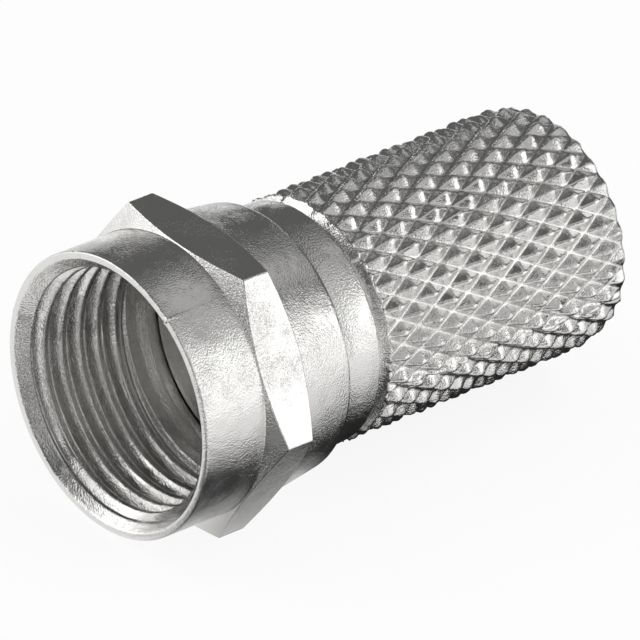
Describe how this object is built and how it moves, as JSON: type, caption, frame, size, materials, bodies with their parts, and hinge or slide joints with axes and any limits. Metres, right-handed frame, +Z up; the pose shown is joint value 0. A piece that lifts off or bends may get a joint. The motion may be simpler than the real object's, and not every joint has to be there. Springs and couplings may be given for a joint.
{
  "type": "f connector",
  "caption": "Twist-on coaxial plug: hexagon coupling nut turning freely on a diamond-knurled cable sleeve.",
  "frame": {"origin": "on the plug's axis, halfway between the nut's mouth and the cable end", "axes": "+X along the axis from the nut's mouth to the cable end, +Z up with the nut lying on one of its flats, Y across two corners of the hexagon"},
  "size_m": [0.0198, 0.012, 0.0104],
  "materials": {
    "nickel_plate": "nickel plate on die-cast zinc, satin to bright"
  },
  "bodies": {
    "sleeve": {"cable_sleeve": "nickel_plate"},
    "nut": {"coupling_nut": "nickel_plate"}
  },
  "joints": [
    {"name": "nut_turn", "type": "hinge", "parent": "sleeve", "child": "nut", "pos_m": [-0.0034, 0, 0], "axis": [1, 0, 0], "continuous": true}
  ]
}
